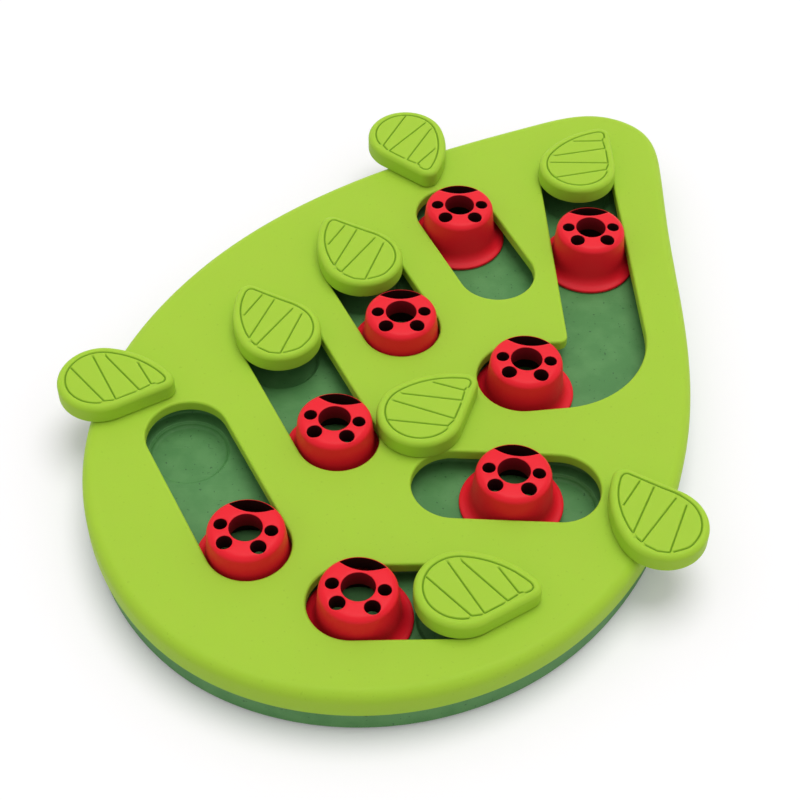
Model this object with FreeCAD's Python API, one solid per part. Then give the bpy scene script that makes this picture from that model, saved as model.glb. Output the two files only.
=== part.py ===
import FreeCAD, Part
import math
import os

# Cat puzzle feeder: a board of two mouldings with seven tracks, eight hollow bug sliders that
# are trapped in the tracks by their foot flanges, and eight leaf lids on pivots.
# Millimetres, +Z up, resting on Z = 0, origin under the centre of the bounding box.
# Seen from above, -Y is the end nearest the viewer.

# Board
board_length = 315.0
board_width = 237.5
drawn_length = 315.0
drawn_width = 237.5
foot_proud = 1.0
seam_height = 11.5
cover_height = 11.5
cover_plate = 3.2
cover_skirt = 2.2
cover_rounding = 4.5
slot_rounding = 1.5

# Tray
rim_inset = 1.5
rim_wall = 2.4
skirt_fit = 0.35
spigot_wall = 1.6
spigot_height = 3.0
deck_above_seam = 0.3
deck_plate = 3.6
trough_wall = 2.0
trough_headroom = 0.3
well_depth = 2.0
well_slope = 3.5
rib_pitch = 29.0
rib_thickness = 1.6
spine_side = 8.0

# Tracks
slot_half = 16.0
short_leg_extra = 1.8
bend_radius = 39.5
bend_corner = 4.0
short_leg_slope = 5.0

# Fineness of the flats that stand for curves
outline_deflection = 0.36
end_flats = 10
rounding_bands = 3

# Bugs
bug_proud = 9.0
bug_floor_gap = 0.2
body_clearance = 0.3
body_taper = 1.3
flange_reach = 3.9
flange_clearance = 0.7
flange_thickness = 1.8
shell_wall = 1.8
bug_flats = 16

# Leaves
leaf_extra = 0.8
pivot_beyond_slot = 8.0
leaf_tip_radius = 4.8
leaf_side_radius = 40.0
leaf_gap = 0.3
leaf_thickness = 7.7
leaf_wall = 2.0
leaf_rounding = 2.0

# Leaf screws
shoulder_radius = 2.5
shoulder_fit = 0.25
thread_radius = 1.5
thread_fit = 0.1
washer_radius = 5.0
washer_thickness = 0.8
head_radius = 3.0
head_height = 1.6
pivot_boss_radius = 5.2
pivot_boss_depth = 2.0
turning_gap = 0.2

# Cover screws and feet
cover_screw_shank = 1.5
cover_screw_head = 2.9
boss_radius = 5.0
boss_top_above_seam = 4.5
foot_radius = 7.0
foot_thickness = 2.5
foot_fit = 0.1

# Heights that follow from the sizes above
cover_top = seam_height + cover_height
cover_underside = cover_top - cover_plate
floor_height = seam_height + deck_above_seam
deck_underside = floor_height - deck_plate
boss_top = seam_height + boss_top_above_seam
leaf_bottom = cover_top + leaf_gap
leaf_top = leaf_bottom + leaf_thickness
bug_bottom = floor_height + bug_floor_gap
bug_top = cover_top + bug_proud

# Radii that follow from the slot
body_radius = slot_half - body_clearance
flange_radius = slot_half + flange_reach
trough_growth = flange_reach + flange_clearance
leaf_radius = slot_half + leaf_extra
leaf_reach = slot_half + pivot_beyond_slot
eye_radius = body_radius * 6.2 / 15.7

# Plan of the board, drawn at 237.5 x 315 and stretched to the sizes above
outline_points = [
    (122.5, -22.0), (125.0, 25.5), (123.5, 82.0), (123.5, 120.5),
    (118.0, 146.5), (99.5, 157.5), (67.5, 150.5), (-15.0, 109.0),
    (-60.0, 72.5), (-91.0, 31.0), (-110.5, -22.0), (-105.0, -87.5),
    (-65.5, -140.0), (-1.0, -157.5), (63.0, -134.5), (105.0, -82.5),
]

# Straight tracks: centre of the end that a leaf covers, then centre of the far end
straight_tracks = [
    ((30.3, 87.4), (47.9, 51.1)),
    ((-8.3, 51.4), (8.2, 18.0)),
    ((-40.6, 9.0), (-15.4, -41.8)),
    ((-73.4, -40.5), (-46.2, -93.3)),
    ((68.4, -64.5), (28.8, -63.3)),
    ((30.7, -116.4), (-8.1, -117.8)),
]

# Bent track: top end, centre of the wide outer bend, end of the short leg
bend_top_end = (84.8, 111.4)
bend_centre = (68.3, 15.1)
bend_short_end = (56.5, -8.4)

# Rest of the second bug: how far down the long leg of the bent track, as a share of that leg,
# and how far to the right of its middle line
bent_rest = 0.438898
bent_rest_side = 0.1558

# Bugs: position at rest and turn of the head, in the order of the node numbers
# (the second is placed by the bent track)
bug_places = [
    ((32.5, 82.8), 1.2), ((88.0, 69.9), 1.5), ((57.9, -7.0), -6.2), ((8.2, 18.0), 2.0),
    ((-16.5, -39.6), -9.3), ((-46.6, -92.4), -8.0), ((51.1, -64.0), -7.2), ((-5.3, -117.7), -7.6),
]

# Leaves: the slot end that each one covers, heading of its tip when it covers that end,
# and how far it stands swung off (counter-clockwise seen from above)
leaf_places = [
    ((30.3, 87.4), 118.9, 174.6), ((84.8, 111.4), 63.0, 0.0), ((-8.3, 51.4), 123.8, 0.0),
    ((-40.6, 9.0), 123.6, 0.0), ((-73.4, -40.5), 118.0, -117.8), ((56.2, -9.6), 201.6, -159.6),
    ((68.4, -64.5), -2.0, 123.6), ((30.7, -116.4), 2.6, 0.0),
]

cover_screw_places = [
    (103.3, -31.9), (68.3, -106.9), (-51.7, -124.9), (-90.7, -69.9), (-65.7, 36.2),
    (3.0, 100.0), (111.3, 129.2),
]

foot_places = [
    (88.0, -78.0), (-15.0, -139.0), (-93.0, -30.0), (-40.0, 66.0), (82.0, 139.5), (109.0, 38.2),
]


def plan(point):
    """Point of the drawn plan, stretched to the board's size."""
    return FreeCAD.Vector(point[0] * board_width / drawn_width, point[1] * board_length / drawn_length, 0)


def heading(angle):
    """Unit vector in the plan at an angle in degrees."""
    return FreeCAD.Vector(math.cos(math.radians(angle)), math.sin(math.radians(angle)), 0)


def arc_points(centre, radius, start, stop, steps):
    """Points along an arc between two angles in degrees, both ends included."""
    return [centre + heading(start + (stop - start) * k / steps) * radius for k in range(steps + 1)]


def raised(points, height):
    return [point + FreeCAD.Vector(0, 0, height) for point in points]


def closed_wire(points):
    return Part.makePolygon(points + points[:1])


def prism(points, low, high):
    """Upright solid over a closed plan outline, between two heights."""
    return Part.Face(closed_wire(raised(points, low))).extrude(FreeCAD.Vector(0, 0, high - low))


def post(centre, radius, low, high, flats):
    """Upright post or hole with flat sides."""
    return prism(arc_points(centre, radius, 0, 360, flats)[:-1], low, high)


def solid_from(faces):
    solid = Part.makeSolid(Part.makeShell(faces))
    if solid.Volume < 0:
        solid.reverse()
    return solid


def band(lower, upper):
    """Flat side faces between two closed rings of corners."""
    faces = []
    for k in range(len(lower)):
        n = (k + 1) % len(lower)
        faces.append(Part.Face(closed_wire([lower[k], lower[n], upper[n], upper[k]])))
    return faces


def layered_solid(layers):
    """Solid through closed rings of corners, capped below and above."""
    faces = [Part.Face(closed_wire(layers[0])), Part.Face(closed_wire(layers[-1]))]
    for lower, upper in zip(layers, layers[1:]):
        faces += band(lower, upper)
    return solid_from(faces)


def rounded_layers(outline, low, high, rounding, bands):
    """Rings of a solid whose top edge is rounded; outline(inset) gives the plan."""
    layers = [raised(outline(0), low)]
    for k in range(bands + 1):
        turn = math.radians(90.0 * k / bands)
        inset = rounding * (1 - math.cos(turn))
        layers.append(raised(outline(inset), high - rounding * (1 - math.sin(turn))))
    return layers


def board_polygon():
    """Corners of the board's smooth outline in flats, and the mitre direction at each."""
    curve = Part.BSplineCurve()
    curve.interpolate([plan(point) for point in outline_points], PeriodicFlag=True)
    corners = curve.toShape().discretize(QuasiDeflection=outline_deflection)[:-1]
    sides = []
    for here, ahead in zip(corners, corners[1:] + corners[:1]):
        along = (ahead - here).normalize()
        sides.append(FreeCAD.Vector(-along.y, along.x, 0))
    mitres = []
    for behind, side in zip(sides[-1:] + sides[:-1], sides):
        mitres.append((behind + side) * (1 / (1 + behind.dot(side))))
    return corners, mitres


board_corners, board_mitres = board_polygon()


def board_outline(inset):
    """Outline of the board, moved inwards by inset."""
    return [corner + mitre * inset for corner, mitre in zip(board_corners, board_mitres)]


def straight_outline(start, end, radius, flats):
    """Outline of a straight track with two round ends."""
    along = end - start
    angle = math.degrees(math.atan2(along.y, along.x))
    far = arc_points(end, radius, angle - 90, angle + 90, flats)
    return far + arc_points(start, radius, angle + 90, angle + 270, flats)


def belt_angle(first, first_radius, second, second_radius):
    """Outward direction of the straight line that touches two circles on their right side."""
    back = first - second
    turn = math.acos((second_radius - first_radius) / back.Length)
    return math.degrees(math.atan2(back.y, back.x) + turn)


def meeting_point(normal_a, offset_a, normal_b, offset_b):
    """Where two straight lines meet, each given by its normal and its distance from the origin."""
    area = normal_a.x * normal_b.y - normal_a.y * normal_b.x
    x = (offset_a * normal_b.y - offset_b * normal_a.y) / area
    y = (normal_a.x * offset_b - normal_b.x * offset_a) / area
    return FreeCAD.Vector(x, y, 0)


def bent_outline(growth, flats):
    """Outline of the L-shaped track, moved outwards by growth."""
    top = plan(bend_top_end)
    bend = plan(bend_centre)
    short = plan(bend_short_end)
    top_radius = slot_half + growth
    outer_radius = bend_radius + growth
    short_radius = slot_half + short_leg_extra + growth
    below = belt_angle(short, short_radius, bend, outer_radius)
    right = belt_angle(bend, outer_radius, top, top_radius)
    left = right + 180
    above = 90 + short_leg_slope
    left_offset = top.dot(heading(left)) + top_radius
    above_offset = short.dot(heading(above)) + short_radius
    rounding = max(bend_corner - growth, 0)
    hub = meeting_point(heading(left), left_offset + rounding, heading(above), above_offset + rounding)
    corner = [hub]
    if rounding > 0:
        corner = arc_points(hub, rounding, right, above - 180, 4)
    below_turn = (below - above) % 360
    right_turn = (right - below) % 360
    points = arc_points(bend, outer_radius, below, below + right_turn, flats)
    points += arc_points(top, top_radius, right, right + 180, flats) + corner
    return points + arc_points(short, short_radius, above, above + below_turn, flats)


def bent_place():
    """Rest place of the second bug, along the long leg of the bent track."""
    top = plan(bend_top_end)
    bend = plan(bend_centre)
    right = belt_angle(bend, bend_radius, top, slot_half)
    foot = bend + heading(right) * (bend_radius - slot_half)
    return top + (foot - top) * bent_rest + heading(right) * bent_rest_side


def track_outlines(growth, flats):
    """One plan outline per track, moved outwards by growth."""
    outlines = [straight_outline(plan(a), plan(b), slot_half + growth, flats) for a, b in straight_tracks]
    return outlines + [bent_outline(growth, flats)]


def track_prisms(growth, low, high, flats):
    return [prism(outline, low, high) for outline in track_outlines(growth, flats)]


def slot_cutters():
    """Solids that cut the tracks into the cover and round their upper edges."""
    levels = [(0, seam_height - 1), (0, cover_top - slot_rounding)]
    levels.append((0.3 * slot_rounding, cover_top - 0.3 * slot_rounding))
    levels.append((slot_rounding, cover_top))
    stacks = [track_outlines(growth, end_flats) for growth, height in levels]
    cutters = []
    for k in range(len(stacks[0])):
        cutters.append(layered_solid([raised(stack[k], level[1]) for stack, level in zip(stacks, levels)]))
    return cutters


def covered_ends():
    """Centres of the slot ends that have a leaf and a treat well, with their radii."""
    ends = [(plan(track[0]), slot_half) for track in straight_tracks]
    ends.append((plan(bend_top_end), slot_half))
    ends.append((plan(bend_short_end), slot_half + short_leg_extra))
    return ends


def pivots():
    """Pivot point, heading at rest and number of each leaf."""
    found = []
    for end, covering, turned in leaf_places:
        found.append((plan(end) + heading(covering) * leaf_reach, covering + turned))
    return found


def cover():
    """Cover moulding: rounded plate with a skirt, seven tracks, pivot and screw bosses below."""
    layers = rounded_layers(board_outline, seam_height, cover_top, cover_rounding, rounding_bands)
    shape = layered_solid(layers)
    shape = shape.cut(prism(board_outline(cover_skirt), seam_height - 1, cover_underside))
    boss_low = cover_underside - pivot_boss_depth
    bosses = [post(place, pivot_boss_radius, boss_low, cover_underside + 0.5, 8) for place, turn in pivots()]
    bosses += [post(plan(p), boss_radius - 0.5, boss_top, cover_underside + 0.5, 8) for p in cover_screw_places]
    shape = shape.fuse(bosses)
    bore = shoulder_radius + shoulder_fit
    holes = [post(place, bore, boss_low - 1, cover_top + 1, 8) for place, turn in pivots()]
    pilot = cover_screw_shank + thread_fit
    holes += [post(plan(p), pilot, boss_top - 1, cover_top - 1.6, 6) for p in cover_screw_places]
    return shape.cut(slot_cutters() + holes)


def ribs():
    """Upright ribs across the board and one spine along it, clipped to the inside of the rim.

    The ribs stand at fixed shares of the length, so that one always joins the boss by the spine.
    """
    low = foot_proud + 1.0
    rise = deck_underside + 0.2 - low
    count = int(drawn_length / rib_pitch) + 1
    bars = []
    for k in range(1, count):
        side = (k / count - 0.5) * board_length - rib_thickness / 2
        corner = FreeCAD.Vector(-board_width, side, low)
        bars.append(Part.makeBox(2 * board_width, rib_thickness, rise, corner))
    spine_corner = FreeCAD.Vector(spine_side, -board_length, low)
    bars.append(Part.makeBox(rib_thickness, 2 * board_length, rise, spine_corner))
    grid = bars[0].fuse(bars[1:])
    return grid.common(prism(board_outline(rim_inset + rim_wall - 0.5), low, low + rise))


def wells():
    """Hollows for treats at the covered ends, as solids to cut."""
    cones = []
    for centre, radius in covered_ends():
        lower = arc_points(centre, radius - well_slope, 0, 360, 12)[:-1]
        upper = arc_points(centre, radius, 0, 360, 12)[:-1]
        cones.append(layered_solid([raised(lower, floor_height - well_depth), raised(upper, floor_height)]))
    return cones


def washer_notches():
    """Round clearances about the pivots, where a leaf's washer reaches into a trough wall."""
    low = cover_underside - pivot_boss_depth - turning_gap - washer_thickness - head_height - 0.8
    radius = washer_radius + 1.0
    rise = FreeCAD.Vector(0, 0, low)
    return [Part.makeCylinder(radius, cover_top - low, place + rise) for place, turn in pivots()]


def base_tray():
    """Tray moulding: rim, spigot, deck, troughs with upright walls, treat wells, ribs, bosses."""
    shape = prism(board_outline(rim_inset), foot_proud, seam_height)
    spigot_inset = cover_skirt + skirt_fit
    shape = shape.fuse(prism(board_outline(spigot_inset), seam_height, seam_height + spigot_height))
    shape = shape.cut(prism(board_outline(rim_inset + rim_wall), foot_proud, deck_underside))
    shape = shape.cut(prism(board_outline(spigot_inset + spigot_wall), floor_height, cover_top))
    wall_top = cover_underside - trough_headroom
    walls = track_prisms(trough_growth + trough_wall, floor_height - 0.5, wall_top, end_flats - 2)
    posts = [post(plan(p), boss_radius, foot_proud + 0.5, boss_top, 8) for p in cover_screw_places]
    pads = [post(plan(p), foot_radius + 1.8, foot_proud, deck_underside + 0.2, 8) for p in foot_places]
    shape = shape.fuse(walls + posts + pads + [ribs()])
    cuts = track_prisms(trough_growth, floor_height, cover_top, end_flats - 2) + wells()
    cuts += washer_notches()
    for point in cover_screw_places:
        cuts.append(post(plan(point), cover_screw_shank + 0.3, foot_proud - 1, boss_top + 1, 6))
        cuts.append(post(plan(point), cover_screw_head + 0.5, foot_proud - 1, deck_underside - 1.6, 8))
    for point in foot_places:
        cuts.append(post(plan(point), foot_radius + foot_fit, foot_proud - 1, foot_thickness, 8))
    return shape.cut(cuts)


def feet():
    """Rubber pads in the pockets under the tray."""
    pads = []
    for point in foot_places:
        layers = []
        for inset, height in ((0.5, 0), (0, 0.5), (0, foot_thickness)):
            layers.append(raised(arc_points(plan(point), foot_radius - inset, 0, 360, 8)[:-1], height))
        pads.append(layered_solid(layers))
    return Part.Compound(pads)


def cover_screws():
    """Screws put in from beneath through the tray into the cover."""
    screws = []
    seat = deck_underside - 1.6
    for point in cover_screw_places:
        head = post(plan(point), cover_screw_head, seat - 1.8, seat, 6)
        shank = post(plan(point), cover_screw_shank, seat - 0.5, cover_top - 2.2, 6)
        screws.append(head.fuse(shank))
    return Part.Compound(screws)


def faceted_ring(profile, flats):
    """Hollow turned solid with flat sides, from a closed profile of (radius, height) corners."""
    rings = []
    for radius, height in profile:
        rings.append(raised(arc_points(FreeCAD.Vector(0, 0, 0), radius, 0, 360, flats)[:-1], height))
    faces = []
    for one, two in zip(rings, rings[1:] + rings[:1]):
        if abs(one[0].z - two[0].z) < 1e-6:
            outer, inner = (one, two) if one[0].x > two[0].x else (two, one)
            faces.append(Part.Face(closed_wire(outer)).cut(Part.Face(closed_wire(inner))).Faces[0])
        else:
            faces += band(one, two)
    return solid_from(faces)


def lens_side(half_width, corner, peak, steps):
    """Points of one bowed side of the lens opening, from -X to +X without the last one."""
    rise = peak - corner
    radius = (half_width ** 2 + rise ** 2) / (2 * abs(rise))
    middle = peak - math.copysign(radius, rise)
    points = []
    for k in range(steps):
        x = -half_width + 2 * half_width * k / steps
        points.append(FreeCAD.Vector(x, middle + math.copysign(math.sqrt(radius ** 2 - x ** 2), rise), 0))
    return points


def head_lens(depth):
    """Upright solid over the lens-shaped opening at the bug's head."""
    half_width = 0.485 * body_radius
    corner = 0.655 * body_radius
    front = lens_side(half_width, corner, 0.50 * body_radius, 4)
    back = lens_side(half_width, corner, body_radius - body_taper - 1.2, 5)
    back = [FreeCAD.Vector(-point.x, point.y, 0) for point in back]
    return prism(front + back, bug_top - depth, bug_top + 1)


def bug():
    """Hollow bug slider, head towards +Y: flared foot flange, tapered body, holed top."""
    shoulder = body_radius - body_taper
    flange_top = bug_bottom + flange_thickness
    ceiling = bug_top - shell_wall
    profile = [
        (flange_radius, bug_bottom),
        (flange_radius, flange_top - 0.6),
        (body_radius + 0.2, flange_top + 0.6),
        (shoulder, bug_top - 1.8),
        (shoulder - 0.5, bug_top - 0.6),
        (shoulder - 1.9, bug_top),
        (eye_radius, bug_top),
        (eye_radius, ceiling),
        (shoulder - shell_wall, ceiling),
        (body_radius - shell_wall, bug_bottom),
    ]
    shape = faceted_ring(profile, bug_flats)
    depth = shell_wall
    side_dot = body_radius * 2.4 / 15.7
    tail_dot = body_radius * 2.7 / 15.7
    for angle, share, radius in (
        (1, 0.59, side_dot), (179, 0.59, side_dot), (-51, 0.61, tail_dot), (-129, 0.61, tail_dot)
    ):
        reach = share * body_radius
        shape = shape.cut(post(heading(angle) * reach, radius, bug_top - depth, bug_top + 1, 8))
    return shape.cut(head_lens(depth))


def leaf_outline(inset):
    """Corners of the leaf's plan moved inwards, pivot at the origin and tip towards +X."""
    pivot = FreeCAD.Vector(0, 0, 0)
    hub = FreeCAD.Vector(-leaf_reach, 0, 0)
    lean = math.degrees(math.acos((leaf_radius - leaf_tip_radius) / leaf_reach))
    inner = leaf_side_radius - leaf_radius
    outer = leaf_side_radius - leaf_tip_radius
    side_x = (inner ** 2 - outer ** 2 - leaf_reach ** 2) / (2 * leaf_reach)
    side_hub = FreeCAD.Vector(side_x, -math.sqrt(outer ** 2 - side_x ** 2), 0)
    from_tip = math.degrees(math.atan2(-side_hub.y, -side_hub.x))
    from_round = math.degrees(math.atan2(-side_hub.y, hub.x - side_hub.x))
    points = arc_points(pivot, leaf_tip_radius - inset, -lean, from_tip, 3)
    points += arc_points(side_hub, leaf_side_radius - inset, from_tip, from_round, 2)[1:-1]
    return points + arc_points(hub, leaf_radius - inset, from_round, 360 - lean, 12)


def leaf():
    """Leaf lid, hollow below, with a screw post at its pivot."""
    shape = layered_solid(rounded_layers(leaf_outline, leaf_bottom, leaf_top, leaf_rounding, 2))
    ceiling = leaf_top - leaf_wall
    shape = shape.cut(prism(leaf_outline(leaf_wall), leaf_bottom - 1, ceiling))
    origin = FreeCAD.Vector(0, 0, 0)
    shape = shape.fuse(post(origin, shoulder_radius + 0.6, leaf_bottom, ceiling + 0.5, 8))
    thread_hole = post(origin, thread_radius + thread_fit, leaf_bottom - 1, ceiling, 6)
    return shape.cut(thread_hole).removeSplitter()


def leaf_screw():
    """Shoulder screw from beneath that carries a leaf: washer head, shoulder, thread."""
    origin = FreeCAD.Vector(0, 0, 0)
    seat = cover_underside - pivot_boss_depth - turning_gap
    washer_low = seat - washer_thickness
    parts = [
        post(origin, shoulder_radius, washer_low, leaf_bottom, 6),
        post(origin, washer_radius, washer_low, seat, 8),
        post(origin, thread_radius, washer_low, leaf_top - leaf_wall - 0.6, 6),
    ]
    head = post(origin, head_radius, washer_low - head_height, washer_low, 6)
    return head.fuse(parts)


def placed(shape, point, turn):
    """Copy of a shape, turned about the vertical and moved in the plan."""
    copy = shape.copy()
    copy.Placement = FreeCAD.Placement(point, FreeCAD.Rotation(FreeCAD.Vector(0, 0, 1), turn))
    return copy


def save(shape, name):
    shape.exportStep("parts/" + name + ".step")


os.makedirs("parts", exist_ok=True)
save(base_tray(), "base_tray")
save(cover(), "cover")
save(feet(), "feet")
save(cover_screws(), "cover_screws")
bug_shape = bug()
for number, (place, turn) in enumerate(bug_places, 1):
    rest = bent_place() if number == 2 else plan(place)
    save(placed(bug_shape, rest, turn), "bug_%d" % number)
leaf_shape = leaf()
screw_shape = leaf_screw()
for number, (place, turn) in enumerate(pivots(), 1):
    save(placed(leaf_shape, place, turn), "leaf_%d" % number)
    save(placed(screw_shape, place, turn), "leaf_screw_%d" % number)
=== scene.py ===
import math

import bmesh
import bpy
import numpy as np
from mathutils import Matrix, Vector
from mathutils.geometry import delaunay_2d_cdt


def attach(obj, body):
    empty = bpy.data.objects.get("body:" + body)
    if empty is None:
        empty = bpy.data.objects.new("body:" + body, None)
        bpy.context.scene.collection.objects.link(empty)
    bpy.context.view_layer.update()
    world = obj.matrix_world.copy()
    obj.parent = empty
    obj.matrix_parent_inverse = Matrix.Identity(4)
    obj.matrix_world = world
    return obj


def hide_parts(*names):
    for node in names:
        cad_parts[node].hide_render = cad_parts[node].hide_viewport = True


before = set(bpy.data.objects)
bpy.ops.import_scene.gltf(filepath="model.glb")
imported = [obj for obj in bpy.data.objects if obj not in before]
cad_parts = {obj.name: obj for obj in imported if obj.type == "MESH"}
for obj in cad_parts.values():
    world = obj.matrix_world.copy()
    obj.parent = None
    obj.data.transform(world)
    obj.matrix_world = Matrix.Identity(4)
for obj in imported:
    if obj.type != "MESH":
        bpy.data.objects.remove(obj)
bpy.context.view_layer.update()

# Cat puzzle feeder: a board of two mouldings with seven tracks, eight hollow bug sliders
# and eight leaf lids. Sizes are in millimetres, and meshes are made in metres.

MM = 0.001
edge_break = 0.3

# Board
seam_height = 11.5
cover_top = 23.0
cover_underside = 19.8
cover_skirt = 2.2
lip_low = 18.2
lip_thickness = 1.6
cover_rounding = 4.5
slot_rounding = 1.0

# Tray
tray_low = 1.0
rim_inset = 1.5
rim_wall = 2.4
spigot_inset = 2.55
spigot_wall = 1.6
spigot_top = 14.5
floor_height = 11.8
deck_underside = 8.2
trough_growth = 4.6
trough_wall = 2.0
trough_top = 19.5
trough_fillet = 0.9
well_depth = 2.2
well_fillet = 1.5
rib_count = 10
rib_pitch = 28.64
rib_length = 600.0
rib_overlap = 0.2
rib_thickness = 1.6
rib_low = 2.0
spine_side = 8.0

# Tracks
slot_half = 16.0
short_leg_extra = 1.8
bend_radius = 39.5
bend_corner = 4.0
short_leg_slope = 5.0
end_steps = 40

# Bugs. The flare is a curve of (radius, height), the dots are (angle, distance out, radius)
bug_bottom = 12.0
bug_top = 32.0
body_radius = 15.7
shoulder_radius = 14.4
shoulder_rounding = 2.5
shoulder_limit = 2.2
flange_radius = 19.9
eye_radius = 6.2
bug_mouth = 13.9
shell_top = 6.8
dome_rise = 0.5
ceiling_radius = 12.8
ceiling_dome = 0.75
bug_waist = (14.9, 24.0)
bug_flare = (15.4, 18.0), (15.85, 13.9), (19.3, 13.5)
bug_dots = (1, 9.4, 2.5), (179, 9.4, 2.5), (-51, 9.9, 2.95), (-129, 9.9, 2.95)
lens_half = 0.555 * body_radius
lens_corner = 0.655 * body_radius
lens_near = 0.46 * body_radius
lens_far = body_radius - 2.1

# Leaves
leaf_bottom = 23.3
leaf_top = 31.0
leaf_reach = 24.0
leaf_radius = 16.8
leaf_tip_radius = 4.8
leaf_side_radius = 40.0
leaf_hub = Vector((-leaf_reach, 0))
leaf_wall = 2.0
leaf_rounding = 2.2
post_radius = 3.1
post_bore = 1.6
border_inset = 3.4
groove_width = 1.15
groove_depth = 0.7
line_step = 0.7

# Bosses, screws and feet
pivot_bore = 2.75
pivot_boss_radius = 5.2
pivot_boss_low = 17.8
washer_notch = 6.0
washer_notch_low = 14.4
boss_radius = 5.0
boss_top = 16.0
pilot_radius = 1.6
pilot_roof = 1.6
screw_hole = 1.8
screw_head_hole = 3.4
screw_seat = 6.6
head_radius = 2.9
thread_radius = 1.5
thread_count = 14
foot_radius = 7.0
foot_thickness = 2.5

# Light and camera: metres and degrees, and the light as shares of a plain white one
sky_low, sky_high = 0.56, 0.64
lamp_energy, lamp_width = 1.4, 42
lamp_heading = Vector((0.12, 0.22, 1.0))
floor_tone, floor_tone_seen = (0.72, 0.72, 0.72, 1), (0.88, 0.86, 0.88, 1)
floor_lift, floor_half = 0.12, 3.0
camera_lens = 76.95
camera_place = (0.0083, -0.46733, 0.523)
camera_fall, camera_roll = 48.3, 0.9

# Board: points that its edge passes through, in order
outline_points = [
    (122.5, -22.0), (125.0, 25.5), (123.5, 82.0), (123.5, 120.5),
    (118.0, 146.5), (99.5, 157.5), (67.5, 150.5), (-15.0, 109.0),
    (-60.0, 72.5), (-91.0, 31.0), (-110.5, -22.0), (-105.0, -87.5),
    (-65.5, -140.0), (-1.0, -157.5), (63.0, -134.5), (105.0, -82.5),
]

# Straight tracks: centre of the end that a leaf covers, then centre of the far end
straight_tracks = [
    ((30.3, 87.4), (47.9, 51.1)),
    ((-8.3, 51.4), (8.2, 18.0)),
    ((-40.6, 9.0), (-15.4, -41.8)),
    ((-73.4, -40.5), (-46.2, -93.3)),
    ((68.4, -64.5), (28.8, -63.3)),
    ((30.7, -116.4), (-8.1, -117.8)),
]
bend_top_end = Vector((84.8, 111.4))
bend_centre = Vector((68.3, 15.1))
bend_short_end = Vector((56.5, -8.4))

# Bugs: position at rest and turn of the head
bug_places = [
    ((32.5, 82.8), 1.2), ((88.0, 69.9), 1.5), ((57.9, -7.0), -6.2), ((8.2, 18.0), 2.0),
    ((-16.5, -39.6), -9.3), ((-46.6, -92.4), -8.0), ((51.1, -64.0), -7.2), ((-5.3, -117.7), -7.6),
]

# Leaves: the slot end that each one covers, heading of its tip over that end,
# and how far it stands swung off
leaf_places = [
    ((30.3, 87.4), 118.9, 174.6), ((84.8, 111.4), 63.0, 0.0), ((-8.3, 51.4), 123.8, 0.0),
    ((-40.6, 9.0), 123.6, 0.0), ((-73.4, -40.5), 118.0, -117.8), ((56.2, -9.6), 201.6, -159.6),
    ((68.4, -64.5), -2.0, 123.6), ((30.7, -116.4), 2.6, 0.0),
]

cover_screw_places = [
    (103.3, -31.9), (68.3, -106.9), (-51.7, -124.9), (-90.7, -69.9), (-65.7, 36.2),
    (3.0, 100.0), (111.3, 129.2),
]
foot_places = [
    (88.0, -78.0), (-15.0, -139.0), (-93.0, -30.0), (-40.0, 66.0), (82.0, 139.5), (109.0, 38.2),
]


# Plan outlines

def heading(angle):
    """Unit vector in the plan at an angle in degrees."""
    return Vector((math.cos(math.radians(angle)), math.sin(math.radians(angle))))


def direction_of(vector):
    return math.degrees(math.atan2(vector.y, vector.x))


def arc(centre, radius, start, stop, steps):
    """Points along an arc between two angles in degrees, both ends included."""
    return [centre + heading(start + (stop - start) * k / steps) * radius for k in range(steps + 1)]


def round_outline(centre, steps, radius=0):
    """Circle as a function of its growth."""
    return lambda growth: arc(Vector(centre), radius + growth, 0, 360, steps)[:-1]


def board_curve(steps):
    """Closed smooth curve through the board's outline points, and its inward normals."""
    points = np.array(outline_points)
    ahead = np.roll(points, -1, axis=0)
    lengths = np.linalg.norm(ahead - points, axis=1)
    slopes = (ahead - points) / lengths[:, None]
    count = len(points)
    system = np.zeros((count, count))
    for k in range(count):
        system[k, k - 1] = lengths[k - 1]
        system[k, k] = 2 * (lengths[k - 1] + lengths[k])
        system[k, (k + 1) % count] = lengths[k]
    bends = np.linalg.solve(system, 6 * (slopes - np.roll(slopes, 1, axis=0)))
    found = []
    for k in range(count):
        size, here, there = lengths[k], bends[k], bends[(k + 1) % count]
        first = slopes[k] - size * (2 * here + there) / 6
        for step in range(steps):
            t = size * step / steps
            point = points[k] + first * t + here * t * t / 2 + (there - here) * t ** 3 / (6 * size)
            along = first + here * t + (there - here) * t * t / (2 * size)
            found.append((Vector(point), Vector((-along[1], along[0])).normalized()))
    return found


board_samples = board_curve(24)


def board_outline(growth):
    """Outline of the board, moved outwards by growth."""
    return [point - inward * growth for point, inward in board_samples]


def track_outline(start, end):
    """Outline of a straight track with round ends, as a function of its growth."""
    start, end = Vector(start), Vector(end)
    angle = direction_of(end - start)

    def outline(growth):
        far = arc(end, slot_half + growth, angle - 90, angle + 90, end_steps)
        return far + arc(start, slot_half + growth, angle + 90, angle + 270, end_steps)

    return outline


def belt_angle(first, first_radius, second, second_radius):
    """Outward direction of the straight line that touches two circles on their right side."""
    back = first - second
    return direction_of(back) + math.degrees(math.acos((second_radius - first_radius) / back.length))


def meeting_point(normal_a, offset_a, normal_b, offset_b):
    """Where two straight lines meet, each given by its normal and its distance from the origin."""
    area = normal_a.x * normal_b.y - normal_a.y * normal_b.x
    x = (offset_a * normal_b.y - offset_b * normal_a.y) / area
    y = (normal_a.x * offset_b - normal_b.x * offset_a) / area
    return Vector((x, y))


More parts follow.
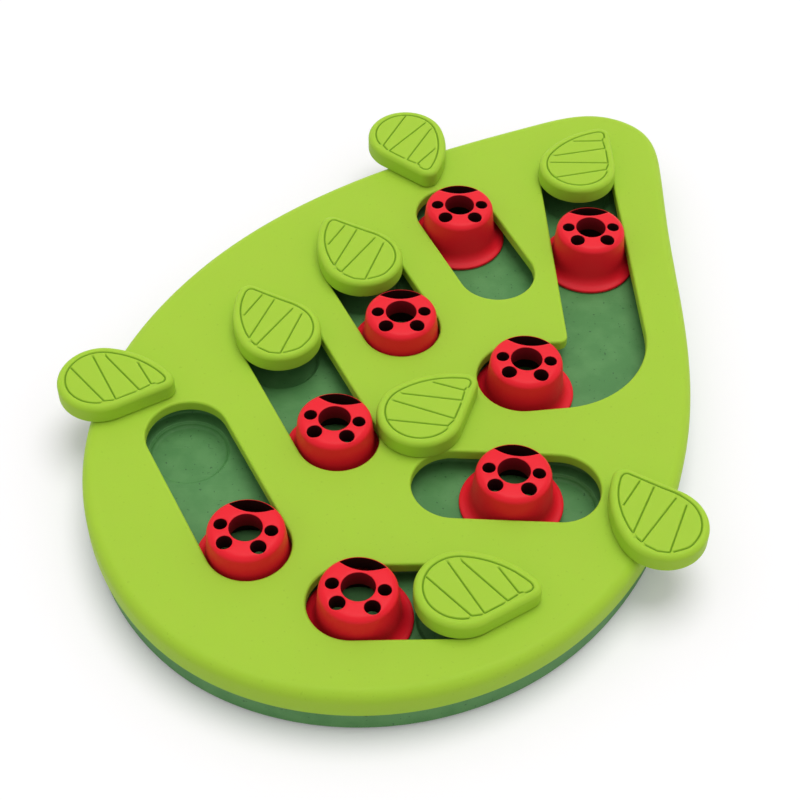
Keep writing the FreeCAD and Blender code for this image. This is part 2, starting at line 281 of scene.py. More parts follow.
def bent_outline(growth):
    """Outline of the L-shaped track, moved outwards by growth."""
    top_radius = slot_half + growth
    outer_radius = bend_radius + growth
    short_radius = slot_half + short_leg_extra + growth
    below = belt_angle(bend_short_end, short_radius, bend_centre, outer_radius)
    right = belt_angle(bend_centre, outer_radius, bend_top_end, top_radius)
    left = right + 180
    above = 90 + short_leg_slope
    rounding = max(bend_corner - growth, 0.02)
    left_offset = bend_top_end.dot(heading(left)) + top_radius + rounding
    above_offset = bend_short_end.dot(heading(above)) + short_radius + rounding
    hub = meeting_point(heading(left), left_offset, heading(above), above_offset)
    points = arc(bend_centre, outer_radius, below, below + (right - below) % 360, end_steps)
    points += arc(bend_top_end, top_radius, right, right + 180, end_steps)
    points += arc(hub, rounding, right, above - 180, 12)
    return points + arc(bend_short_end, short_radius, above, above + (below - above) % 360, end_steps)


track_outlines = [track_outline(a, b) for a, b in straight_tracks] + [bent_outline]


def leaf_side():
    """Centre of the leaf's bowed side, and its directions to the tip and to the round end."""
    inner, outer = leaf_side_radius - leaf_radius, leaf_side_radius - leaf_tip_radius
    side_x = (inner ** 2 - outer ** 2 - leaf_reach ** 2) / (2 * leaf_reach)
    side_hub = Vector((side_x, -math.sqrt(outer ** 2 - side_x ** 2)))
    return side_hub, direction_of(-side_hub), direction_of(leaf_hub - side_hub)


def leaf_outline(growth):
    """Outline of a leaf, pivot at the origin and tip towards +X."""
    lean = math.degrees(math.acos((leaf_radius - leaf_tip_radius) / leaf_reach))
    side_hub, from_tip, from_round = leaf_side()
    points = arc(Vector((0, 0)), leaf_tip_radius + growth, -lean, from_tip, 16)
    points += arc(side_hub, leaf_side_radius + growth, from_tip, from_round, 16)[1:-1]
    return points + arc(leaf_hub, leaf_radius + growth, from_round, 360 - lean, 64)


def covered_ends():
    """Centres and radii of the slot ends that have a leaf and a treat well."""
    ends = [(Vector(track[0]), slot_half) for track in straight_tracks]
    return ends + [(bend_top_end, slot_half), (bend_short_end, slot_half + short_leg_extra)]


def leaf_pivots():
    """Pivot point and heading at rest of each leaf."""
    return [(Vector(end) + heading(covering) * leaf_reach, covering + turned)
            for end, covering, turned in leaf_places]


# Surfaces

class Skin:
    """Surface built from rings of points. Its kind numbers the material of new faces."""

    def __init__(self):
        self.mesh = bmesh.new()
        self.kind = 0

    def ring(self, points, height):
        return [self.mesh.verts.new((p.x * MM, p.y * MM, height(p) * MM)) for p in points]

    def join(self, one, two):
        for k in range(len(one)):
            n = (k + 1) % len(one)
            self.mesh.faces.new((one[k], one[n], two[n], two[k])).material_index = self.kind

    def wall(self, outline, profile):
        """Rings along a profile of (growth, height), joined. Returns the first and the last."""
        rings = [self.ring(outline(growth), height if callable(height) else lambda p: height)
                 for growth, height in profile]
        for one, two in zip(rings, rings[1:]):
            self.join(one, two)
        return rings[0], rings[-1]

    def fill(self, rings):
        """Flat triangles inside the first ring and outside the others."""
        edges = []
        for ring in rings:
            for k in range(len(ring)):
                pair = (ring[k - 1], ring[k])
                edges.append(self.mesh.edges.get(pair) or self.mesh.edges.new(pair))
        bmesh.ops.triangle_fill(self.mesh, use_beauty=True, use_dissolve=False, edges=edges)

    def solid(self, outline, profile):
        """Wall closed by a flat bottom and a flat top."""
        for ring in self.wall(outline, profile):
            self.fill([ring])

    def cover(self, rings, spacing, height, lines=()):
        """Curved triangles between rings, through a grid of points and along extra lines."""
        points, edges, known, loops = [], [], [], []
        for ring in rings:
            start = len(points)
            loops.append([Vector((v.co.x, v.co.y)) / MM for v in ring])
            points += loops[-1]
            known += ring
            edges += [(start + k, start + (k + 1) % len(ring)) for k in range(len(ring))]
        for line in lines:
            start = len(points)
            points += line
            edges += [(start + k, start + k + 1) for k in range(len(line) - 1)]
        taken = np.array([tuple(p) for p in points])
        low, high = taken.min(axis=0), taken.max(axis=0)
        row = 0
        while low[1] + row * spacing < high[1]:
            y = low[1] + row * spacing * 0.87
            x = low[0] + (row % 2) * spacing / 2
            while x < high[0]:
                if np.hypot(taken[:, 0] - x, taken[:, 1] - y).min() > spacing * 0.55:
                    points.append(Vector((x, y)))
                x += spacing
            row += 1
        out, _, faces, origin, _, _ = delaunay_2d_cdt(points, edges, [], 0, 1e-5)
        verts = []
        for place, sources in zip(out, origin):
            own = [s for s in sources if s < len(known)]
            if own:
                verts.append(known[own[0]])
            else:
                verts.append(self.mesh.verts.new((place.x * MM, place.y * MM, height(place) * MM)))
        for face in faces:
            middle = sum((out[i] for i in face), Vector((0, 0))) / len(face)
            if inside(middle, loops[0]) and not any(inside(middle, loop) for loop in loops[1:]):
                self.mesh.faces.new([verts[i] for i in face]).material_index = self.kind
        spare = [vert for vert in self.mesh.verts if not vert.link_faces]
        bmesh.ops.delete(self.mesh, geom=spare, context="VERTS")

    def finish(self, name):
        """Object from the surface, faces outwards."""
        bmesh.ops.remove_doubles(self.mesh, verts=self.mesh.verts, dist=1e-7)
        bmesh.ops.recalc_face_normals(self.mesh, faces=self.mesh.faces)
        data = bpy.data.meshes.new(name)
        self.mesh.to_mesh(data)
        self.mesh.free()
        return new_object(name, data)


def inside(point, loop):
    """Is a point of the plan inside a closed outline?"""
    found = False
    for k, here in enumerate(loop):
        back = loop[k - 1]
        if (here.y > point.y) != (back.y > point.y):
            if point.x < here.x + (point.y - here.y) * (back.x - here.x) / (back.y - here.y):
                found = not found
    return found


def new_object(name, data):
    made = bpy.data.objects.new(name, data)
    bpy.context.scene.collection.objects.link(made)
    return made


def plain_object(name, points, edges=(), faces=()):
    """Object from lists of points, edges and faces."""
    data = bpy.data.meshes.new(name)
    data.from_pydata(points, edges, faces)
    return new_object(name, data)


def smooth(piece, angle=32):
    """Smooth shading, with edges sharper than the angle left crisp."""
    piece.data.shade_smooth()
    piece.data.set_sharp_from_angle(angle=math.radians(angle))
    return piece


def evenly_shaded(piece):
    """Normals that follow the large faces, so that flats next to small roundings stay flat."""
    piece.modifiers.new("face_weight", "WEIGHTED_NORMAL").keep_sharp = True
    return baked(piece)


def baked(piece):
    """Plain mesh of the piece as its modifiers leave it, and the modifiers removed."""
    graph = bpy.context.evaluated_depsgraph_get()
    piece.data = bpy.data.meshes.new_from_object(piece.evaluated_get(graph))
    piece.modifiers.clear()
    return piece


def lofted(name, outline, profile):
    """Closed solid with a flat bottom and top, through rings along a profile."""
    skin = Skin()
    skin.solid(outline, profile)
    return skin.finish(name)


def posts(name, places, radius, low, high, steps=32):
    """Upright round posts, all alike."""
    skin = Skin()
    for place in places:
        skin.solid(round_outline(place, steps, radius), [(0, low), (0, high)])
    return skin.finish(name)


def combine(piece, tools, operation):
    """Adds the tools to the piece, or cuts them out of it, and removes them."""
    for tool in tools:
        change = piece.modifiers.new("combine", "BOOLEAN")
        change.operation = operation
        change.solver = "MANIFOLD"
        change.object = tool
        baked(piece)
        bpy.data.objects.remove(tool)
    return piece


def quarter(growth, height, radius, start, stop, steps=6):
    """Part of a rounding, as (growth, height) along an arc about a centre."""
    angles = [math.radians(start + (stop - start) * k / steps) for k in range(steps + 1)]
    return [(growth + radius * math.cos(a), height + radius * math.sin(a)) for a in angles]


# Nodes

def feed(node, inputs):
    """Gives inputs their values. An output is linked, and a list links several to one input."""
    for name, value in inputs.items():
        for one in value if isinstance(value, list) else [value]:
            if isinstance(one, bpy.types.NodeSocket):
                node.id_data.links.new(one, node.inputs[name])
            else:
                node.inputs[name].default_value = one


def wired(tree, kind, inputs, out=0, **settings):
    """New node with its settings made and its inputs fed. Returns one of its outputs."""
    made = tree.nodes.new(kind)
    for name, value in settings.items():
        setattr(made, name, value)
    feed(made, inputs)
    return made.outputs[out]


def maths(tree, operation, one, two):
    return wired(tree, "ShaderNodeMath", {0: one, 1: two}, operation=operation)


def vector(tree, x=0, y=0, z=0):
    return wired(tree, "ShaderNodeCombineXYZ", {"X": x, "Y": y, "Z": z})


def noise(tree, place, scale, detail):
    return wired(tree, "ShaderNodeTexNoise", {"Vector": place, "Scale": scale, "Detail": detail})


def blended(tree, amount, one, two, way="MIX"):
    """Two colours blended by an amount from 0 to 1."""
    return wired(tree, "ShaderNodeMix", {0: amount, 6: one, 7: two}, 2,
                 data_type="RGBA", blend_type=way)


def node_group(kind, name, inputs, outputs):
    """Empty group with named sockets. Returns it, its inputs by name and the node of its outputs."""
    tree = bpy.data.node_groups.new(name, kind)
    for way, sockets in (("INPUT", inputs), ("OUTPUT", outputs)):
        for label, form, *value in sockets:
            socket = tree.interface.new_socket(label, in_out=way, socket_type="NodeSocket" + form)
            if value:
                socket.default_value = value[0]
    return tree, tree.nodes.new("NodeGroupInput").outputs, tree.nodes.new("NodeGroupOutput")


# Geometry Nodes

def shape_tree(name, inputs):
    """Geometry tree with named inputs and one geometry output."""
    return node_group("GeometryNodeTree", name, inputs, [("Geometry", "Geometry")])


def finished(tree, given, out, shape):
    """Gives the shape its material and makes it the tree's result."""
    painted = wired(tree, "GeometryNodeSetMaterial", {"Geometry": shape, "Material": given["Material"]})
    feed(out, {0: painted})
    return tree


def shape_of(tree, socket):
    """Mesh of the object that an input names."""
    return wired(tree, "GeometryNodeObjectInfo", {"Object": socket}, "Geometry")


def made_by(tree, name, values):
    """Object whose plain mesh a tree makes from its named inputs."""
    piece = new_object(name, bpy.data.meshes.new(name))
    maker = piece.modifiers.new("maker", "NODES")
    maker.node_group = tree
    sockets = {s.name: s.identifier for s in tree.interface.items_tree if s.in_out == "INPUT"}
    for label, value in values.items():
        maker[sockets[label]] = value
    return baked(piece)


def repeat_tree():
    """Copies of one part on every point of another object, each turned by chance."""
    tree, given, out = shape_tree("repeat_on_places", [
        ("Part", "Object"), ("Places", "Object"), ("Material", "Material"), ("Turn", "Float"),
        ("Seed", "Int"),
    ])
    turn = wired(tree, "FunctionNodeRandomValue", {3: given["Turn"], "Seed": given["Seed"]}, 1)
    copies = wired(tree, "GeometryNodeInstanceOnPoints", {
        "Points": shape_of(tree, given["Places"]), "Instance": shape_of(tree, given["Part"]),
        "Rotation": vector(tree, z=turn),
    })
    return finished(tree, given, out, wired(tree, "GeometryNodeRealizeInstances", {"Geometry": copies}))


def rib_tree():
    """Upright bars in a row, and one spine across them."""
    tree, given, out = shape_tree("rib_rows", [
        ("Count", "Int"), ("Pitch", "Float"), ("Thickness", "Float"), ("Rise", "Float"),
        ("Length", "Float"), ("Low", "Float"), ("Spine Side", "Float"), ("Material", "Material"),
    ])
    count, pitch, rise = given["Count"], given["Pitch"], given["Rise"]
    middle = maths(tree, "ADD", given["Low"], maths(tree, "MULTIPLY", rise, 0.5))
    half = maths(tree, "MULTIPLY", maths(tree, "SUBTRACT", count, 1), -0.5)
    row = wired(tree, "GeometryNodeMeshLine", {
        "Count": count, "Offset": vector(tree, y=pitch),
        "Start Location": vector(tree, y=maths(tree, "MULTIPLY", half, pitch), z=middle),
    })
    bar, spine = [wired(tree, "GeometryNodeMeshCube", {"Size": vector(tree, along, across, rise)})
                  for along, across in ((given["Length"], given["Thickness"]),
                                        (given["Thickness"], given["Length"]))]
    bars = wired(tree, "GeometryNodeInstanceOnPoints", {"Points": row, "Instance": bar})
    bars = wired(tree, "GeometryNodeRealizeInstances", {"Geometry": bars})
    spine = wired(tree, "GeometryNodeTransform", {
        "Geometry": spine, "Translation": vector(tree, given["Spine Side"], z=middle),
    })
    ribs = wired(tree, "GeometryNodeMeshBoolean", {"Mesh 2": [bars, spine]},
                 operation="UNION", solver="MANIFOLD")
    return finished(tree, given, out, ribs)


def engraving_tree():
    """Sinks the top of a piece along the lines of another object, as a rounded groove.

    How near each point is to the middle of a groove is kept as its attribute "groove"."""
    tree, given, out = shape_tree("engrave_lines", [
        ("Blank", "Object"), ("Lines", "Object"), ("Width", "Float"), ("Depth", "Float"),
        ("Top", "Float"), ("Material", "Material"),
    ])
    near = wired(tree, "GeometryNodeProximity", {0: shape_of(tree, given["Lines"])}, "Distance",
                 target_element="EDGES")
    half_width = maths(tree, "MULTIPLY", given["Width"], 0.5)

    def across_groove(middle, edge):
        return wired(tree, "ShaderNodeMapRange", {
            "Value": near, "From Max": half_width, "To Min": middle, "To Max": edge,
        }, interpolation_type="SMOOTHSTEP")

    place = wired(tree, "GeometryNodeInputPosition", {})
    height = wired(tree, "ShaderNodeSeparateXYZ", {0: place}, "Z")
    on_top = maths(tree, "GREATER_THAN", height, given["Top"])
    marked = wired(tree, "GeometryNodeStoreNamedAttribute", {
        "Geometry": shape_of(tree, given["Blank"]), "Name": "groove",
        "Value": maths(tree, "MULTIPLY", across_groove(1, 0), on_top),
    }, data_type="FLOAT", domain="POINT")
    down = maths(tree, "MULTIPLY", given["Depth"], -1)
    sunk = wired(tree, "GeometryNodeSetPosition", {
        "Geometry": marked, "Selection": on_top, "Offset": vector(tree, z=across_groove(down, 0)),
    })
    return finished(tree, given, out, sunk)


# Materials

grey = (0.5, 0.5, 0.5, 1)


def colour(red, green, blue):
    """Linear colour from the usual 0 to 255 values."""
    values = [value / 12.92 if value <= 0.04045 else ((value + 0.055) / 1.055) ** 2.4
              for value in (red / 255, green / 255, blue / 255)]
    return (*values, 1)


def moulded_group():
    """Moulded plastic: broad tints and the fine grain of a spark-eroded mould."""
    tree, given, out = node_group("ShaderNodeTree", "moulded_plastic", [
        ("Colour", "Color", grey), ("Tint", "Color", grey), ("Patch Scale", "Float", 20),
        ("Patch Amount", "Float", 0.5), ("Grain Scale", "Float", 1500),
        ("Low Roughness", "Float", 0.4), ("High Roughness", "Float", 0.5),
    ], [("Colour", "Color"), ("Roughness", "Float"), ("Height", "Float")])
    where = wired(tree, "ShaderNodeTexCoord", {}, "Object")
    grain = noise(tree, where, given["Grain Scale"], 2)
    amount = maths(tree, "MULTIPLY", noise(tree, where, given["Patch Scale"], 4), given["Patch Amount"])
    feed(out, {
        "Colour": blended(tree, amount, given["Colour"], given["Tint"]),
        "Roughness": wired(tree, "ShaderNodeMapRange", {
            "Value": grain, "From Min": 0.3, "From Max": 0.7,
            "To Min": given["Low Roughness"], "To Max": given["High Roughness"],
        }),
        "Height": grain,
    })
    return tree


def scuffed_group():
    """Marks of use: cloudy wear, fine scratches in two directions and small dark specks."""
    tree, given, out = node_group("ShaderNodeTree", "scuffed_surface", [
        ("Colour", "Color", grey), ("Worn", "Color", grey),
        ("Dark", "Color", (0.1, 0.1, 0.1, 1)), ("Amount", "Float", 1),
    ], [("Colour", "Color"), ("Height", "Float")])
    where = wired(tree, "ShaderNodeTexCoord", {}, "Object")

    def mask(turn, stretch, scale, start, stop, detail=2):
        """Streaks across a turned direction, or spots where nothing is stretched."""
        place = wired(tree, "ShaderNodeMapping", {
            "Rotation": (0, 0, turn), "Scale": (1, stretch, 1), "Vector": where,
        })
        return wired(tree, "ShaderNodeMapRange", {
            "Value": noise(tree, place, scale, detail), "From Min": start, "From Max": stop,
        })

    clouds = mask(0.3, 1, 95, 0.42, 0.62, 5)
    scratches = maths(tree, "MAXIMUM", mask(0.5, 22, 60, 0.66, 0.74), mask(1.9, 26, 48, 0.67, 0.75))
    specks = mask(0, 1, 700, 0.70, 0.76, 1)
    marked = given["Colour"]
    layers = (clouds, 0.55, "Worn"), (scratches, 0.3, "Worn"), (specks, 0.6, "Dark")
    for marks, share, tone in layers:
        amount = maths(tree, "MULTIPLY", maths(tree, "MULTIPLY", marks, share), given["Amount"])
        marked = blended(tree, amount, marked, given[tone])
    feed(out, {"Colour": marked, "Height": maths(tree, "MULTIPLY", scratches, -1)})
    return tree


def with_group(material, group, inputs):
    """Adds a node group to a material and feeds it. Returns its outputs."""
    added = material.node_tree.nodes.new("ShaderNodeGroup")
    added.node_tree = group
    added.name = group.name
    feed(added, inputs)
    return added.outputs


def plastic(name, body, tint, rough, patch=18, amount=0.6, shine=0.3, soft=0):
    """Moulded plastic in one colour."""
    material = bpy.data.materials.new(name)
    material.use_nodes = True
    finish = with_group(material, moulded, {
        "Colour": body, "Tint": tint, "Patch Scale": patch, "Patch Amount": amount, "Grain Scale": 1600,
        "Low Roughness": rough[0], "High Roughness": rough[1],
    })
    relief = {"Strength": 0.06, "Distance": 0.0003, "Height": finish["Height"]}
    feed(material.node_tree.nodes["Principled BSDF"], {
        "Base Color": finish["Colour"], "Roughness": finish["Roughness"],
        "Normal": wired(material.node_tree, "ShaderNodeBump", relief), "Specular IOR Level": shine,
        "Subsurface Weight": soft, "Subsurface Radius": (1.0, 1.3, 0.8), "Subsurface Scale": 0.0016,
    })
    return material


def parts_of(material):
    """Tree of a plastic, the colour of its moulded finish, and its shader."""
    tree = material.node_tree
    return tree, tree.nodes[moulded.name].outputs["Colour"], tree.nodes["Principled BSDF"]


def with_weak_bounce(material, share):
    """Lets only a share of a plastic's colour reach its neighbours as bounced light."""
    tree, plain, shader = parts_of(material)
    bounced = wired(tree, "ShaderNodeLightPath", {}, "Is Diffuse Ray")
    dimmed = blended(tree, bounced, plain, (share, share, share, 1), "MULTIPLY")
    feed(shader, {"Base Color": dimmed})
    return material


def with_scuffs(material, worn, dark, amount):
    """Adds marks of use to a plastic."""
    tree, plain, shader = parts_of(material)
    marks = with_group(material, scuffed, {
        "Colour": plain, "Worn": worn, "Dark": dark, "Amount": amount,
    })
    relief = {
        "Strength": 0.3 * amount, "Distance": 0.00005, "Height": marks["Height"],
        "Normal": shader.inputs["Normal"].links[0].from_socket,
    }
    feed(shader, {"Base Color": marks["Colour"], "Normal": wired(tree, "ShaderNodeBump", relief)})
    return material


def with_painted_groove_shade(material, groove_shade):
    """Paints shade into the engraved lines, darkest along the middle of each groove."""
    tree, plain, shader = parts_of(material)
    near = wired(tree, "ShaderNodeAttribute", {}, "Fac", attribute_name="groove")
    feed(shader, {"Base Color": blended(tree, near, plain, groove_shade)})
    return material


moulded = moulded_group()
scuffed = scuffed_group()
lime_plastic = with_scuffs(
    plastic("lime_plastic", colour(169, 205, 60), colour(162, 199, 55), (0.48, 0.58), shine=0.15,
            soft=0.5),
    colour(166, 208, 56), colour(120, 160, 40), 0.35)
# Leaf plastic with painted shade along its engraved lines, in the last colour given.
leaf_plastic = with_painted_groove_shade(
    plastic("leaf_plastic", colour(168, 205, 60), colour(161, 199, 55), (0.5, 0.6), shine=0.15,
            soft=0.5),
    colour(120, 163, 42))
tray_plastic = with_scuffs(
    plastic("tray_plastic", colour(76, 132, 72), colour(84, 140, 78), (0.5, 0.62), patch=60,
            amount=0.8),
    colour(96, 150, 88), colour(34, 66, 40), 1)
bug_plastic = with_weak_bounce(
    plastic("bug_plastic", colour(238, 28, 44), colour(230, 23, 39), (0.4, 0.5), shine=0.2), 0.3)
# The wall of the bug's eye opening: the same red plastic darkened, as painted shade.
bug_rim = plastic("bug_rim", colour(120, 12, 24), colour(106, 9, 19), (0.5, 0.6), shine=0.15)
# The inside of the hollow bug and the walls of its dots and lens: the same red plastic painted nearly
# black, as painted shade.
bug_inside = plastic("bug_inside", colour(50, 9, 12), colour(44, 7, 10), (0.6, 0.7), shine=0.1)
foot_rubber = plastic("foot_rubber", colour(46, 48, 46), colour(60, 62, 60), (0.7, 0.85))
steel = plastic("zinc_steel", colour(190, 190, 186), colour(170, 170, 165), (0.28, 0.4), shine=0.5)
feed(steel.node_tree.nodes["Principled BSDF"], {"Metallic": 1})


def paint(piece, *materials):
    """Gives a piece its materials. Clearing an empty list would reset the kinds of its faces."""
    if piece.data.materials:
        piece.data.materials.clear()
    for material in materials:
        piece.data.materials.append(material)
    return piece


# Cover

def cover_shell():
    """Cover moulding: rounded plate, skirt, seven slots with rounded lips, bosses below."""
    outer = [(-cover_skirt, cover_underside), (-cover_skirt, seam_height + edge_break),
             (edge_break - cover_skirt, seam_height)]
    outer += quarter(-0.5, seam_height + 0.5, 0.5, -90, 0, 3)
    outer += quarter(-cover_rounding, cover_top - cover_rounding, cover_rounding, 0, 90, 12)
    outer.append((-cover_rounding - 0.5, cover_top))
    lip = [(lip_thickness + 0.2, cover_underside), (lip_thickness, cover_underside - 0.2),
           (lip_thickness, lip_low + edge_break), (lip_thickness - edge_break, lip_low),
           (edge_break, lip_low), (0, lip_low + edge_break)]
    lip += quarter(slot_rounding, cover_top - slot_rounding, slot_rounding, 180, 90)
    lip.append((slot_rounding + 0.4, cover_top))
    bore = [(pivot_boss_radius, cover_underside), (pivot_boss_radius, pivot_boss_low + edge_break),
            (pivot_boss_radius - edge_break, pivot_boss_low), (pivot_bore + edge_break, pivot_boss_low),
            (pivot_bore, pivot_boss_low + edge_break), (pivot_bore, cover_top - edge_break),
            (pivot_bore + edge_break, cover_top), (pivot_bore + 0.5, cover_top)]
    wall = boss_radius - 0.5
    screw_boss = [(wall, cover_underside), (wall, boss_top + edge_break), (wall - edge_break, boss_top),
                  (pilot_radius + edge_break, boss_top), (pilot_radius, boss_top + edge_break),
                  (pilot_radius, cover_top - pilot_roof)]
    skin = Skin()
    rings = [skin.wall(board_outline, outer)]
    rings += [skin.wall(outline, lip) for outline in track_outlines]
    rings += [skin.wall(round_outline(place, 40), bore) for place, turn in leaf_pivots()]
    undersides, tops = [list(ends) for ends in zip(*rings)]
    for place in cover_screw_places:
        below, above = skin.wall(round_outline(place, 32), screw_boss)
        undersides.append(below)
        skin.fill([above])
    skin.fill(undersides)
    skin.fill(tops)
    return smooth(skin.finish("cover_shell"))


# Tray

def trough_cutter(outline):
    """Inside of a trough, rounded where its walls meet the floor."""
    side = trough_growth - trough_fillet
    profile = [(side - 0.6, floor_height)]
    profile += quarter(side, floor_height + trough_fillet, trough_fillet, 270, 360)
    return lofted("trough", outline, profile + [(trough_growth, cover_top)])


def well_cutter(place, radius):
    """Shallow dish for treats: a steep wall, rounded at its edge and at the bottom."""
    bottom = floor_height - well_depth
    wall = radius - 0.9
    profile = [(wall - well_fillet - 0.6, bottom)]
    profile += quarter(wall - well_fillet, bottom + well_fillet, well_fillet, 270, 352, 8)
    profile += quarter(radius + 0.1, floor_height - 0.6, 0.6, 172, 90)
    profile.append((radius + 0.5, floor_height + 0.6))
    return lofted("well", round_outline(place, 96), profile)


def tray_shell():
    """Tray moulding: rim, spigot, deck, troughs with upright walls, treat wells, ribs, bosses."""
    outer = quarter(-rim_inset - 0.8, tray_low + 0.8, 0.8, -90, 0, 4)
    outer += quarter(-rim_inset - 0.4, seam_height - 0.4, 0.4, 0, 90, 3)
    outer += [(-spigot_inset, seam_height), (-spigot_inset, spigot_top - edge_break),
              (-spigot_inset - edge_break, spigot_top)]
    tray = lofted("tray_shell", board_outline, outer)
    inner, spigot_inner = -rim_inset - rim_wall, -spigot_inset - spigot_wall
    rib_top = deck_underside + rib_overlap

    def within(name, growth, low, high, outline=board_outline):
        return lofted(name, outline, [(growth, low), (growth, high)])

    combine(tray, [within("under", inner, tray_low - 1, deck_underside),
                   within("over", spigot_inner, floor_height, cover_top)], "DIFFERENCE")
    for outline in track_outlines:
        wall = within("wall", trough_growth + trough_wall, floor_height - 0.5, trough_top, outline)
        combine(tray, [wall], "UNION")
    ribs = made_by(rib_tree(), "ribs", {
        "Count": rib_count, "Pitch": rib_pitch * MM, "Thickness": rib_thickness * MM,
        "Rise": (rib_top - rib_low) * MM, "Length": rib_length * MM, "Low": rib_low * MM,
        "Spine Side": (spine_side + rib_thickness / 2) * MM, "Material": tray_plastic,
    })
    combine(ribs, [within("keep", inner + 0.5, rib_low - 1, floor_height)], "INTERSECT")
    bosses = posts("bosses", cover_screw_places, boss_radius, tray_low + 0.5, boss_top)
    pads = posts("pads", foot_places, foot_radius + 1.8, tray_low, rib_top, 48)
    combine(tray, [ribs, bosses, pads], "UNION")
    combine(tray, [trough_cutter(outline) for outline in track_outlines], "DIFFERENCE")
    combine(tray, [well_cutter(place, radius) for place, radius in covered_ends()], "DIFFERENCE")
    pivots = [place for place, turn in leaf_pivots()]
    combine(tray, [
        posts("notches", pivots, washer_notch, washer_notch_low, cover_top),
        posts("holes", cover_screw_places, screw_hole, 0, boss_top + 1),
        posts("seats", cover_screw_places, screw_head_hole, 0, screw_seat),
        posts("pockets", foot_places, foot_radius + 0.1, 0, foot_thickness, 48),
    ], "DIFFERENCE")
    return evenly_shaded(smooth(tray))


# Bugs

def bug_height(point):
    """Height of the top of a bug: a slight dome that rolls over at the shoulder."""
    reach = point.length
    fall = dome_rise * max(reach - eye_radius, 0) ** 2 / (shoulder_radius - eye_radius) ** 2
    over = max(reach - (shoulder_radius - shoulder_rounding), 0)
    roll = math.sqrt(shoulder_rounding ** 2 - min(over, shoulder_limit) ** 2)
    return bug_top - fall - shoulder_rounding + roll


def bug_ceiling(point):
    """Height of the underside of a bug's top."""
    return bug_top - shell_top - ceiling_dome * min(point.length / ceiling_radius, 1) ** 2


def bug_openings():
    """Outlines of the openings in a bug's top, the eye first and the lens last."""
    dots = [round_outline(heading(angle) * reach, 32, radius) for angle, reach, radius in bug_dots]
    return [round_outline((0, 0), 64, eye_radius)] + dots + [lens_loop]


def lens_loop(growth):
    """Closed outline of the lens opening, its two corners slightly rounded."""
    points = []
    for peak, way in ((lens_near, 1), (lens_far, -1)):
        rise = peak - lens_corner
        radius = (lens_half ** 2 + rise ** 2) / (2 * abs(rise))
        middle = peak - math.copysign(radius, rise)
        for k in range(24):
            x = way * (-lens_half + 2 * lens_half * (k + 0.5) / 24)
            y = middle + math.copysign(math.sqrt(radius ** 2 - x ** 2), rise)
            outward = Vector((x, y - middle)).normalized()
            points.append(Vector((x, y)) + outward * growth)
    return points


def bug_shell():
    """Hollow bug, head towards +Y: flared foot flange, tapered body, openings in the top.

    The kinds of its faces are 0 outside, 1 the wall of the eye and 2 inside."""
    skin = Skin()
    hub = shoulder_radius - shoulder_rounding
    reach = shoulder_radius - 0.6
    rim_angle = math.degrees(math.acos((reach - hub) / shoulder_rounding))
    hub_height = bug_height(Vector((reach, 0))) - shoulder_rounding * math.sin(math.radians(rim_angle))
    outer = quarter(hub, hub_height, shoulder_rounding, rim_angle, 5)
    outer.append(bug_waist)
    side, bend, foot = [Vector(point) for point in bug_flare]
    for k in range(11):
        t = k / 10
        outer.append(tuple(side * (1 - t) ** 2 + bend * 2 * t * (1 - t) + foot * t * t))
    outer += quarter(flange_radius - 0.5, bug_bottom + 0.9, 0.5, 60, 0, 3)
    outer += quarter(flange_radius - 0.4, bug_bottom + 0.4, 0.4, 0, -90, 3)
    outer += [(bug_mouth + 0.4, bug_bottom), (bug_mouth, bug_bottom + 0.4)]
    edge = bug_top - shell_top - ceiling_dome
    inner = [outer[-1], (ceiling_radius + 0.2, edge - 0.45), (ceiling_radius, edge)]
    round_about = round_outline((0, 0), 96)
    tops = [skin.wall(round_about, outer)[0]]
    skin.kind = 2
    unders = [skin.wall(round_about, inner)[1]]
    for number, outline in enumerate(bug_openings()):
        skin.kind = 0
        rim = [(growth, lambda point, drop=drop: bug_height(point) - drop)
               for growth, drop in ((0.3, 0), (0.09, 0.09), (0, 0.3))]
        tops.append(skin.wall(outline, rim)[0])
        # Kind 1 later takes a dark red and kind 2 a near black, both painted shade on the red plastic.
        skin.kind = 1 if number == 0 else 2
        unders.append(skin.wall(outline, [rim[-1], (0, bug_ceiling)])[1])
    skin.kind = 2
    skin.cover(unders, 1.6, bug_ceiling)
    skin.kind = 0
    skin.cover(tops, 0.9, bug_height)
    return smooth(skin.finish("bug_shell"))


# Leaves

def stroke(points, rounding=0.5):
    """Line through points with rounded corners, finely divided."""
    rounded = [Vector(points[0])]
    for back, here, ahead in zip(points, points[1:], points[2:]):
        back, here, ahead = Vector(back), Vector(here), Vector(ahead)
        before = here + (back - here).normalized() * rounding
        after = here + (ahead - here).normalized() * rounding
        for k in range(7):
            t = k / 6
            rounded.append(before * (1 - t) ** 2 + here * 2 * t * (1 - t) + after * t * t)
    rounded.append(Vector(points[-1]))
    fine = []
    for here, ahead in zip(rounded, rounded[1:]):
        count = max(1, round((ahead - here).length / line_step))
        fine += [here.lerp(ahead, k / count) for k in range(count)]
    return fine + [rounded[-1]]


def flowing(points):
    """Smooth line through points, finely divided."""
    points = [Vector(point) for point in points]
    fine = []
    for a, b, c, d in zip([points[0]] + points, points, points[1:], points[2:] + [points[-1]]):
        count = max(2, round((c - b).length / line_step))
        for k in range(count):
            t = k / count
            bend = (2 * a - 5 * b + 4 * c - d) * t ** 2 + (3 * b - a - 3 * c + d) * t ** 3
            fine.append((2 * b + (c - a) * t + bend) / 2)
    return fine + [points[-1]]


